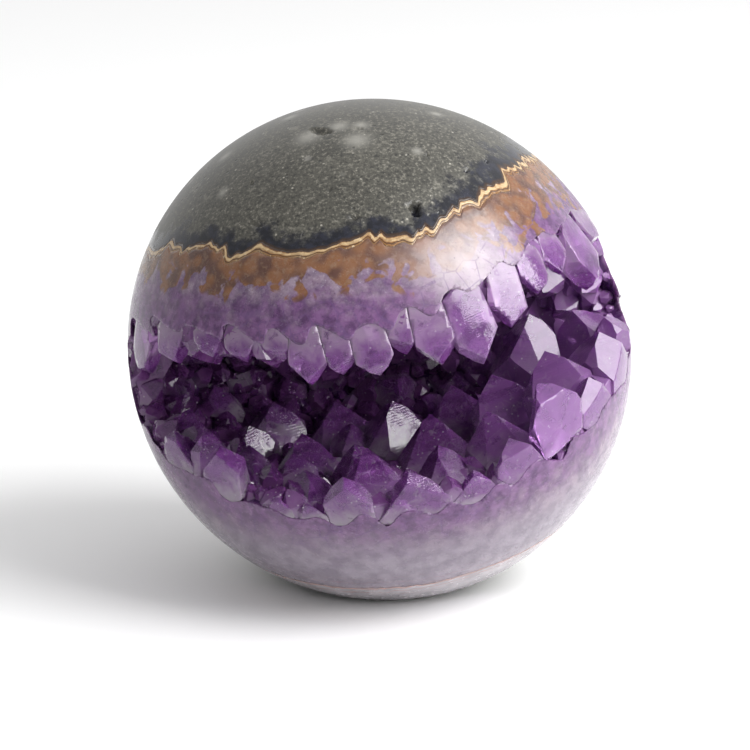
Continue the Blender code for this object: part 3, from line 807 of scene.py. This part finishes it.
FLOOR = (
    (-4.2, -27.0, -10.2, 5.5, 0.10, 0.10, 0),
    (-14.4, -24.0, -11.6, 6.2, 0.12, 0.00, 0),
    (6.6, -25.4, -12.0, 5.5, 0.00, 0.10, 0),
    (15.0, -20.8, -9.4, 6.2, -0.10, 0.10, 0),
    (-22.6, -15.6, -7.6, 6.5, 0.20, 0.05, 0),
    (-31.0, -8.0, -1.2, 6.0, 0.35, 0.00, 0),
    (6.0, -11.0, -9.8, 6.8, 0.06, 0.00, 0),
    (-6.6, -14.6, -11.2, 6.5, 0.00, 0.00, 0),
    (-14.6, -8.0, -9.0, 7.0, 0.15, -0.15, 0),
    (16.8, -9.8, -6.0, 6.5, -0.10, 0.00, 0),
    (25.8, -14.6, -3.2, 5.8, -0.15, 0.00, 0),
    (34.8, -13.2, -2.4, 6.2, 0.14, -0.24, 1),
    (0.3, -2.2, -8.2, 6.2, 0.14, -0.24, 1),
    (10.0, -0.6, -8.0, 6.8, 0.00, -0.20, 0),
    (24.6, -1.4, 0.6, 6.5, 0.14, -0.24, 1),
    (31.4, 0.4, -0.6, 6.2, -0.25, -0.20, 0),
    (-9.0, 3.6, -7.4, 6.5, 0.10, -0.30, 0),
    (-18.6, 2.0, -5.0, 6.5, 0.20, -0.30, 0),
    (-27.4, 4.6, -0.6, 6.2, 0.14, -0.24, 1),
)
HAND_SET_REACH = 14.0
FILL_SEED = 11
DETAIL_SEED = 5
FILL_TRIALS = 700
FILL_HALF_WIDTHS = (5.0, 6.6)
FILL_REACH = (6.5, 10.0)
FILL_LEAN = 0.16
FILL_SPACING = 0.66
FILL_BANDS = (("back", (0, 200), (-0.20, 0.55), 8), ("roof", (0, 360), (0.55, 0.95), 5))


class Crystal:
    """A point of quartz: its root, the way it points, and its size, in the bedding frame."""

    def __init__(self, group, root, axis, half_width, reach, common=False):
        self.group = group
        self.root = root
        self.axis = axis.normalized()
        self.half_width = half_width
        self.tip = root + self.axis * reach
        self.common = common

    def parting_plane(self, other):
        """A point and a normal between two crystals, nearer the slimmer one."""
        mine, theirs = nearest_points(self, other)
        apart = theirs - mine
        share = self.half_width / (self.half_width + other.half_width)
        return mine + apart * share, apart.normalized()


def nearest_points(a, b):
    """The nearest points of two crystals' axes, kept between their roots and tips."""
    found = intersect_line_line(a.root, a.tip, b.root, b.tip)
    on_a = a.root if found is None else found[0]
    length = (a.tip - a.root).length
    along = min(max((on_a - a.root).dot(a.axis), 0.0), length)
    on_a = a.root + a.axis * along
    for first, second in ((b, a), (a, b)):
        along = (on_a - first.root).dot(first.axis)
        along = min(max(along, 0.0), (first.tip - first.root).length)
        previous, on_a = on_a, first.root + first.axis * along
    return on_a, previous


def hand_set(group, rows, up):
    """Crystals of the roof or the floor, leaning as the rows say from straight up or down."""
    for along, back, height, half_width, lean_along, lean_back, common in rows:
        tip = Vector((along, back, height))
        axis = Vector((lean_along, lean_back, up)).normalized()
        root = tip - axis * HAND_SET_REACH
        yield Crystal(group, root, axis, half_width, HAND_SET_REACH, bool(common))


def inside_ball(point, margin):
    turned = bedding() @ point
    return turned.length < ball_radius(np.array((turned.normalized(),)))[0] + margin


def wall_normal(point):
    """Into the cavity, at a point of its wall in the bedding frame."""
    power = CAVITY_SQUARENESS - 1
    inward = CAVITY_CENTRE - point
    inward.z += smile(point.x)
    slope = (math.copysign(abs(d / r) ** power / r, d) for d, r in zip(inward, CAVITY_RADII))
    return Vector(slope).normalized()


def clear_of(crystal, other):
    a, b = nearest_points(crystal, other)
    return (a - b).length > FILL_SPACING * (crystal.half_width + other.half_width)


def fill_band(placed, band, rng, half_widths, reaches, added=None):
    """Adds crystals by chance to a band of the wall, each clear of those before it."""
    group, turns, rises, most = band
    for _ in range(FILL_TRIALS):
        turn = math.radians(rng.uniform(*turns))
        rise = rng.uniform(*rises)
        level = math.sqrt(1 - rise * rise)
        unit = Vector((level * math.cos(turn), level * math.sin(turn), rise))
        scale = sum(abs(share) ** CAVITY_SQUARENESS for share in unit) ** (1 / CAVITY_SQUARENESS)
        seat = CAVITY_CENTRE + unit / scale * CAVITY_RADII
        seat.z += smile(seat.x)
        half_width = rng.uniform(*half_widths)
        reach = rng.uniform(*reaches)
        lean = Vector(rng.uniform(-FILL_LEAN, FILL_LEAN) for _ in range(3))
        crystal = Crystal(group, seat, wall_normal(seat) + lean, half_width, reach)
        if not inside_ball(seat, -1.5):
            continue
        if all(clear_of(crystal, other) for other in placed):
            placed.append(crystal)
            if added is not None:
                crystal.common = rng.random() < 0.3
                added.append(crystal)
            most -= 1
        if most == 0:
            return


def cut(bm, point, normal):
    """Cuts off what lies beyond the plane and closes the cut."""
    geometry = bm.verts[:] + bm.edges[:] + bm.faces[:]
    done = bmesh.ops.bisect_plane(
        bm, geom=geometry, dist=1e-4, plane_co=point, plane_no=normal, clear_outer=True
    )
    edges = [item for item in done["geom_cut"] if isinstance(item, bmesh.types.BMEdge)]
    if len(edges) > 2:
        bmesh.ops.contextual_create(bm, geom=edges)


def wall_distance(crystal):
    """How far back from its tip a crystal's middle line meets the wall."""
    steps = np.arange(1.0, CRYSTAL_LENGTH, 0.25)
    line = np.array(crystal.tip) - steps[:, None] * np.array(crystal.axis)
    beyond = cavity_level(line) > 1
    return float(steps[np.argmax(beyond)]) if beyond.any() else CRYSTAL_LENGTH


def crystal_mesh(crystal, rng, detail):
    """A six-sided column with a six-faced tip, three of its tip faces larger than the others.

    detail draws what no two crystals share: small extra faces and a ragged root in the wall.
    """
    bm = bmesh.new()
    half = crystal.half_width
    bmesh.ops.create_cone(
        bm, cap_ends=True, segments=6, radius1=1.6 * half, radius2=1.6 * half, depth=CRYSTAL_LENGTH
    )
    bmesh.ops.translate(bm, vec=(0, 0, -CRYSTAL_LENGTH / 2), verts=bm.verts)
    spin = rng.uniform(0, math.tau / 6)
    if crystal.common:
        turn = crystal.axis.to_track_quat("Z", "Y").to_matrix()
        facing = (bedding() @ turn).inverted() @ COMMON_FACING
        spin = math.atan2(facing.y, facing.x)
    for face in range(6):
        turn = spin + face * math.tau / 6
        out = Vector((math.cos(turn), math.sin(turn), 0))
        width = half * rng.uniform(1 - WIDTH_SPREAD, 1 + WIDTH_SPREAD)
        cut(bm, out * width, out)
        slope = out * math.sin(TIP_FACE_ANGLE) + Vector((0, 0, math.cos(TIP_FACE_ANGLE)))
        offset = half * LESSER_FACE_OFFSET * (face % 2) * rng.uniform(0.5, 1.5)
        cut(bm, slope * offset, slope)
        turn += math.tau / 12
        if detail.random() < 0.45:
            corner = Vector((math.cos(turn), math.sin(turn), detail.uniform(0.2, 0.9))).normalized()
            reach = max(vert.co.dot(corner) for vert in bm.verts)
            cut(bm, corner * (reach - half * detail.uniform(0.05, 0.16)), corner)
    root = wall_distance(crystal) + detail.uniform(1.2, 3.2)
    for _ in range(3):
        tilt = Vector((detail.uniform(-0.8, 0.8), detail.uniform(-0.8, 0.8), -1)).normalized()
        cut(bm, Vector((0, 0, -root)), tilt)
    return bm


def part_from_neighbours(bm, crystal, others, turn):
    """Cuts the crystal, still upright at its own tip, off its neighbours."""
    back = turn.inverted()
    for other in others:
        if other is crystal or (other.tip - crystal.tip).length > CRYSTAL_LENGTH:
            continue
        point, normal = crystal.parting_plane(other)
        point = point - normal * CRYSTAL_GAP / 2
        cut(bm, back @ (point - crystal.tip), back @ normal)


def ball_mesh(grow=0.0, segments=300, rings=150):
    bm = bmesh.new()
    bmesh.ops.create_uvsphere(bm, u_segments=segments, v_segments=rings, radius=1)
    units = np.array([vert.co.normalized() for vert in bm.verts])
    for vert, unit, radius in zip(bm.verts, units, ball_radius(units)):
        vert.co = Vector(unit * radius * (1 + grow))
    return bm


def growth_effect():
    """Purple in zones that step back from the tip, fading to milk where the crystal is rooted.

    rim is how much paler its sides are painted, a painted sheen at its edges; the last input is how
    much paler it is painted at the right, as painted light.
    """
    m = Effect("amethyst growth", tip=(0, 0, 0), body=(0, 0, 0), root=(0, 0, 0), rim=0.0, thin=0.0)
    tip, body, root = m.given["Tip"], m.given["Body"], m.given["Root"]
    from_tip, radial, own = m.split(m.attribute("grown", "Vector"))
    rootward = m.attribute("rootward")
    cloud = m.ramp(m.noise(3.4, 4, 0.55, 0.4), 0.3, 0.7, -0.25, 0.25, False)
    zone = m.math("ADD", m.math("ADD", rootward, cloud), m.ramp(own, 0, 1, -0.30, 0.25, False))
    chevron = m.math("ADD", from_tip, m.math("MULTIPLY", radial, 0.79))
    bands = m.math("SINE", m.math("MULTIPLY", chevron, m.ramp(own, 0, 1, 1.1, 2.4, False)))
    deep = m.mix(m.ramp(bands, -0.3, 0.9, 0, 0.65), body, tip)
    colour = m.mix(m.ramp(zone, 0.10, 0.60), deep, body)
    colour = m.mix(m.ramp(zone, 0.50, 1.15), colour, root)
    leaning = m.stretched(m.place, (1.0, 1.0, 0.45), (0.3, 0.5, 0))
    wisps = m.cells(2.4, "DISTANCE_TO_EDGE", vector=leaning)
    veils = m.ramp(m.noise(1.3, 6, 0.72, 0.9), 0.53, 0.70, 0, 0.55)
    colour = m.mix(veils, colour, root)
    shade = m.ramp(m.noise(1.9, 4, 0.6, 0.5), 0.44, 0.30, 0, 0.6)
    colour = m.mix(shade, colour, tip)
    faint = m.ramp(m.noise(2.0, 2), 0.50, 0.62, 0, 0.28)
    colour = m.mix(m.math("MULTIPLY", m.ramp(wisps, 0.05, 0.0), faint), colour, root)
    # The sides are painted paler by rim: a painted sheen for the crystals' bright edges.
    painted_edge_sheen = m.ramp(m.attribute("rimward"), 0.55, 1.10, 0, m.given["Rim"])
    colour = m.mix(painted_edge_sheen, colour, root)
    # Painted light: the crystals are painted paler toward the right, where light enters the cavity.
    right = m.ramp(m.split(m.place)["X"], 8 * MM, 30 * MM, 0, m.given["Thin"])
    colour = m.mix(right, colour, RIGHT_LIT_LILAC)
    # Tiny bright flecks: painted glints.
    scattered = m.ramp(m.noise(2.8, 3), 0.50, 0.58, 0, 0.7)
    painted_glints = m.math("MULTIPLY", m.ramp(m.cells(1.0), 0.20, 0.09), scattered)
    colour = m.mix(painted_glints, colour, (0.82, 0.76, 0.86))
    gloss = m.ramp(m.noise(1.6, 3), 0.35, 0.7, 0.04, 0.14, False)
    steps = m.math("SINE", m.math("MULTIPLY", from_tip, 17.0))
    ripple = m.math("MULTIPLY", steps, m.ramp(m.noise(1.4, 2), 0.45, 0.65))
    dimples = m.noise(0.9, 3, 0.6)
    relief = m.math("ADD", m.math("MULTIPLY", ripple, 0.3), dimples)
    return m.give(colour=colour, roughness=gloss, normal=m.bump(relief, 0.035, 0.6))


def crystal_material(name, clearness, **growth):
    m = Shader(name)
    m.use(amethyst_growth, **growth)
    m.set(transmission_weight=clearness, ior=1.54)
    m.set(subsurface_weight=0.3, subsurface_radius=(1.0, 0.55, 1.2), subsurface_scale=2.0 * MM)
    return m.material


def grown_piece(name, crystals, everyone, rng, detail, material, ball):
    """All of a group's crystals as one piece of closed solids."""
    points, faces, smooth, grown, rootward, rimward = [], [], [], [], [], []
    for crystal in crystals:
        turn = crystal.axis.to_track_quat("Z", "Y").to_matrix()
        bm = crystal_mesh(crystal, rng, detail)
        part_from_neighbours(bm, crystal, everyone, turn)
        if len(bm.faces) < 4:
            bm.free()
            continue
        place = bedding() @ turn
        tip = bedding() @ crystal.tip
        bmesh.ops.transform(bm, matrix=Matrix.Translation(tip) @ place.to_4x4(), verts=bm.verts)
        bmesh.ops.recalc_face_normals(bm, faces=bm.faces)
        lengths, radii = from_centre(np.array([vert.co for vert in bm.verts]))
        made = as_object("crystal", bm)
        if (lengths > radii * (1 + POLISH_PROUD)).any():
            carve(made, "INTERSECT", ball)
        spots = points_of(made)
        if len(spots) < 4:
            bpy.data.objects.remove(made)
            continue
        local = (spots - np.array(tip)) @ np.array(place)
        depth = -local[:, 2]
        radial = np.hypot(local[:, 0], local[:, 1])
        own = np.full(len(spots), detail.random())
        first = sum(len(p) for p in points)
        lengths, radii = from_centre(spots)
        polished = lengths > radii * (1 + POLISH_PROUD) - 0.01
        for face in made.data.polygons:
            corners = list(face.vertices)
            faces.append([first + corner for corner in corners])
            smooth.append(bool(polished[corners].all()))
        points.append(spots)
        grown.append(np.stack((depth, radial, own), axis=1))
        rootward.append(depth / wall_distance(crystal))
        rimward.append(radial / crystal.half_width)
        bpy.data.objects.remove(made)
    piece = new_piece(name, np.vstack(points), faces, material, smooth=False)
    for face, flag in zip(piece.data.polygons, smooth):
        face.use_smooth = flag
    add_attribute(piece, "grown", np.vstack(grown))
    add_attribute(piece, "rootward", np.concatenate(rootward))
    add_attribute(piece, "rimward", np.concatenate(rimward))
    return piece


RIGHT_LIT_LILAC = (0.46, 0.22, 0.56)
AMETHYST_TIP = (0.115, 0.014, 0.170)
AMETHYST_BODY = (0.31, 0.100, 0.40)
ROOF_ROOT = (0.58, 0.40, 0.62)
FLOOR_ROOT = (0.60, 0.49, 0.63)
DRUSE_TIP = (0.095, 0.016, 0.130)
DRUSE_BODY = (0.25, 0.085, 0.30)
DRUSE_ROOT = (0.34, 0.20, 0.40)

placed = [*hand_set("roof_lip", ROOF_LIP, -1), *hand_set("floor_lip", FLOOR_LIP, 1)]
placed += hand_set("floor", FLOOR, 1)
chance = random.Random(FILL_SEED)
for band in FILL_BANDS:
    fill_band(placed, band, chance, FILL_HALF_WIDTHS, FILL_REACH)
detail = random.Random(DETAIL_SEED)
ball = as_object("ball_tool", ball_mesh(POLISH_PROUD))
amethyst_growth = growth_effect()
roof_amethyst = crystal_material(
    "roof amethyst", 0.70,
    tip=AMETHYST_TIP, body=AMETHYST_BODY, root=ROOF_ROOT, rim=0.55, thin=0.0,
)  # fmt: skip
floor_amethyst = crystal_material(
    "floor amethyst", 0.70,
    tip=AMETHYST_TIP, body=AMETHYST_BODY, root=FLOOR_ROOT, rim=0.25, thin=0.60,
)  # fmt: skip
deep_amethyst = crystal_material(
    "deep amethyst", 0.60,
    tip=DRUSE_TIP, body=DRUSE_BODY, root=DRUSE_ROOT, rim=0.15, thin=0.80,
)  # fmt: skip
stuffs = {"roof_lip": roof_amethyst, "floor_lip": floor_amethyst, "floor": floor_amethyst}
for group in ("roof_lip", "floor_lip", "floor", "back", "roof"):
    own = [crystal for crystal in placed if crystal.group == group]
    stuff = stuffs.get(group, deep_amethyst)
    piece = grown_piece(f"{group}_crystals", own, placed, chance, detail, stuff, ball)
    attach(piece, "root")
    nodes = [node for node in frame["nodes"] if node.startswith(f"{group}_crystal_")]
    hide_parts(*nodes)

# Lesser crystals: shorter, slimmer points that fill the floor and the back between the large
# ones. They grow from the same wall and end where a larger neighbour begins.

MORE_BANDS = (
    ("floor", (180, 360), (-0.99, -0.05), 46),
    ("floor", (0, 180), (-0.99, -0.05), 30),
    ("back", (0, 180), (-0.2, 0.6), 24),
)
LESSER_HALF_WIDTHS = (2.6, 4.6)
LESSER_REACH = (4.5, 8.5)
lesser = []
for band in MORE_BANDS:
    fill_band(placed, band, detail, LESSER_HALF_WIDTHS, LESSER_REACH, lesser)
piece = grown_piece("lesser_crystals", lesser, placed, detail, detail, floor_amethyst, ball)
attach(piece, "root")
bpy.data.objects.remove(ball)

# Druse: the small crystals that sprout thickly between the large ones, all over the cavity's wall.
# Where they would stick out of the ball they were ground off flush with it.

TEMPLATE_COUNT = 5
TEMPLATE_STAND = 2.4
TEMPLATE_SEED = 31
MOST_PER_SQUARE_METRE = 2e6


def template_crystal(number, detail):
    """A crystal of half width 1 mm, standing up from the origin."""
    seat = Vector((0, 0, 0))
    crystal = Crystal("druse", seat, Vector((0, 0, 1)), 1.0, TEMPLATE_STAND)
    bm = crystal_mesh(crystal, detail, detail)
    cut(bm, Vector((0, 0, -TEMPLATE_STAND - 0.9)), Vector((0, 0, -1)))
    spots = np.array([vert.co for vert in bm.verts])
    bmesh.ops.translate(bm, vec=(0, 0, TEMPLATE_STAND), verts=bm.verts)
    bmesh.ops.scale(bm, vec=(MM, MM, MM), verts=bm.verts)
    bmesh.ops.recalc_face_normals(bm, faces=bm.faces)
    mesh = bpy.data.meshes.new("template")
    bm.to_mesh(mesh)
    bm.free()
    template = bpy.data.objects.new("template", mesh)
    depth = -spots[:, 2]
    own = np.full(len(spots), number / TEMPLATE_COUNT)
    grown = np.stack((depth, np.hypot(spots[:, 0], spots[:, 1]), own), axis=1)
    add_attribute(template, "grown", grown)
    add_attribute(template, "rootward", depth / TEMPLATE_STAND)
    return template


def seed_bed(name, margin, material):
    """The cavity's wall inside the ball, facing inward, as the ground the druse grows on."""
    bm = cavity_mesh(150, 90, LUMPS)
    bm.verts.index_update()
    spots = np.array([vert.co for vert in bm.verts])
    lengths, radii = from_centre(spots)
    kept = lengths < radii - margin
    number = np.cumsum(kept) - 1
    faces = []
    for face in bm.faces:
        corners = [vert.index for vert in reversed(face.verts)]
        if kept[corners].all():
            # the druse is sown face by face, so each face starts at its lowest corner
            lowest = corners.index(min(corners))
            faces.append([int(number[c]) for c in corners[lowest:] + corners[:lowest]])
    bm.free()
    return new_piece(name, spots[kept], sorted(faces), material, smooth=False)


def druse_group():
    """Nodes that scatter the template crystals over a seed bed."""
    group = bpy.data.node_groups.new("druse", "GeometryNodeTree")
    sockets = {}
    for name, kind in (
        ("Geometry", "Geometry"), ("Spacing", "Float"), ("Smallest", "Float"),
        ("Largest", "Float"), ("Lean", "Float"), ("Seed", "Int"), ("Crystals", "Collection"),
        ("Material", "Material"),
    ):  # fmt: skip
        made = group.interface.new_socket(name, in_out="INPUT", socket_type=f"NodeSocket{kind}")
        sockets[name] = made.identifier
    group.interface.new_socket("Geometry", in_out="OUTPUT", socket_type="NodeSocketGeometry")

    def node(kind, inputs, **settings):
        """Sets a node down, each input from another node or plain, and gives its outputs."""
        made = group.nodes.new(kind)
        for name, value in settings.items():
            setattr(made, name, value)
        for key, value in inputs.items():
            if isinstance(value, bpy.types.NodeSocket):
                group.links.new(value, made.inputs[key])
            else:
                made.inputs[key].default_value = value
        return made.outputs

    given = node("NodeGroupInput", {})
    scatter = node(
        "GeometryNodeDistributePointsOnFaces",
        {
            "Mesh": given["Geometry"],
            "Distance Min": given["Spacing"],
            "Density Max": MOST_PER_SQUARE_METRE,
            "Seed": given["Seed"],
        },
        distribute_method="POISSON",
    )
    sway = node(
        "FunctionNodeRandomValue",
        {"Min": (-1, -1, -1), "Seed": given["Seed"]},
        data_type="FLOAT_VECTOR",
    )
    leaning = node(
        "ShaderNodeVectorMath",
        {0: sway["Value"], 1: given["Lean"], 2: scatter["Normal"]},
        operation="MULTIPLY_ADD",
    )
    upright = node("FunctionNodeAlignRotationToVector", {"Vector": leaning["Vector"]}, axis="Z")
    spin = node("FunctionNodeRandomValue", {3: math.tau}, data_type="FLOAT")
    turned = node("FunctionNodeAxisAngleToRotation", {"Angle": spin[1]})
    facing = node(
        "FunctionNodeRotateRotation",
        {"Rotation": upright["Rotation"], "Rotate By": turned["Rotation"]},
        rotation_space="LOCAL",
    )
    sizes = {2: given["Smallest"], 3: given["Largest"]}
    size = node("FunctionNodeRandomValue", sizes, data_type="FLOAT")
    models = node(
        "GeometryNodeCollectionInfo",
        {"Collection": given["Crystals"], "Separate Children": True, "Reset Children": True},
    )
    place = node(
        "GeometryNodeInstanceOnPoints",
        {
            "Points": scatter["Points"],
            "Instance": models["Instances"],
            "Pick Instance": True,
            "Rotation": facing["Rotation"],
            "Scale": size[1],
        },
    )
    real = node("GeometryNodeRealizeInstances", {"Geometry": place["Instances"]})
    stuff = {"Geometry": real["Geometry"], "Material": given["Material"]}
    skin = node("GeometryNodeSetMaterial", stuff)
    node("NodeGroupOutput", {"Geometry": skin["Geometry"]})
    return group, sockets


def grow_druse(name, margin, material, **settings):
    """Grows the druse on a seed bed and grinds it flush with the ball."""
    bed = seed_bed(name, margin, material)
    modifier = bed.modifiers.new("druse", "NODES")
    modifier.node_group = druse_nodes
    modifier[druse_sockets["Crystals"]] = templates
    modifier[druse_sockets["Material"]] = material
    for title, value in settings.items():
        modifier[druse_sockets[title.title()]] = value
    settle(bed)
    spots = points_of(bed)
    lengths, radii = from_centre(spots)
    ground = spots * np.minimum(1, radii * (1 + POLISH_PROUD) / lengths)[:, None]
    placed_at = (ground + (0, 0, BALL_CENTRE)) * MM
    bed.data.vertices.foreach_set("co", placed_at.astype(np.float32).ravel())
    bed.data.update()
    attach(bed, "root")


templates = bpy.data.collections.new("templates")
for number in range(TEMPLATE_COUNT):
    templates.objects.link(template_crystal(number, random.Random(TEMPLATE_SEED + number)))
druse_nodes, druse_sockets = druse_group()
grow_druse(
    "druse_points", 0.15, deep_amethyst,
    spacing=1.9 * MM, smallest=0.55, largest=1.15, lean=0.45, seed=3,
)  # fmt: skip
grow_druse(
    "druse_crystals", 0.4, deep_amethyst,
    spacing=4.2 * MM, smallest=1.3, largest=2.3, lean=0.35, seed=8,
)  # fmt: skip
for template in list(templates.objects):
    bpy.data.objects.remove(template)
bpy.data.collections.remove(templates)

# The stage: a pale seamless floor, a large soft light high on the right, a weaker one low on the
# same side, and a long lens a little above the ball.

FLOOR_WIDTH = 6.0
floor_mesh = bpy.data.meshes.new("floor")
half = FLOOR_WIDTH / 2
floor_mesh.from_pydata(
    [(-half, -half, 0), (half, -half, 0), (half, half, 0), (-half, half, 0)], [], [(0, 1, 2, 3)]
)
floor_stuff = Shader("pale floor")
floor_stuff.set(base_color=(0.93, 0.93, 0.93), roughness=0.6)
floor_mesh.materials.append(floor_stuff.material)
floor = bpy.data.objects.new("floor", floor_mesh)
bpy.context.scene.collection.objects.link(floor)

# The room is white but for its left front, where it is dim
world = bpy.data.worlds.new("studio")
world.use_nodes = True
room = world.node_tree
place = room.nodes.new("ShaderNodeTexCoord").outputs["Generated"]
toward = room.nodes.new("ShaderNodeVectorMath")
toward.operation = "DOT_PRODUCT"
toward.inputs[1].default_value = (-0.81, -0.45, 0.37)
room.links.new(place, toward.inputs[0])
dimming = room.nodes.new("ShaderNodeMapRange")
for name, number in (("From Min", -0.1), ("From Max", 0.8), ("To Min", 1.0), ("To Max", 0.50)):
    dimming.inputs[name].default_value = number
room.links.new(toward.outputs["Value"], dimming.inputs["Value"])
room.nodes["Background"].inputs["Color"].default_value = (1, 1, 1, 1)
room.links.new(dimming.outputs["Result"], room.nodes["Background"].inputs["Strength"])
bpy.context.scene.world = world
bpy.context.scene.view_settings.view_transform = "Standard"

ELEVATION = math.radians(15)
CAMERA_DISTANCE = 0.70
TO_CAMERA = Vector((0, -math.cos(ELEVATION), math.sin(ELEVATION)))
MIDDLE = Vector((0, 0, BALL_CENTRE * MM))


def soft_light(name, direction, distance, width, height, watts):
    """A rectangle of light that faces the ball."""
    lamp = bpy.data.lights.new(name, "AREA")
    lamp.shape = "RECTANGLE"
    lamp.size, lamp.size_y = width, height
    lamp.energy = watts
    made = bpy.data.objects.new(name, lamp)
    direction = direction.normalized()
    made.location = MIDDLE + direction * distance
    made.rotation_euler = direction.to_track_quat("Z", "Y").to_euler()
    bpy.context.scene.collection.objects.link(made)


soft_light("key", Vector((0.685, -0.30, 0.66)), 0.60, 0.48, 0.40, 5)
soft_light("side", Vector((0.90, -0.42, 0.12)), 0.70, 0.30, 0.40, 2.5)

lens = bpy.data.cameras.new("camera")
lens.sensor_width = 36
lens.lens = 210
lens.shift_x = -0.006
lens.shift_y = -0.034
camera = bpy.data.objects.new("camera", lens)
camera.location = MIDDLE + TO_CAMERA * CAMERA_DISTANCE
camera.rotation_euler = TO_CAMERA.to_track_quat("Z", "Y").to_euler()
bpy.context.scene.collection.objects.link(camera)
bpy.context.scene.camera = camera
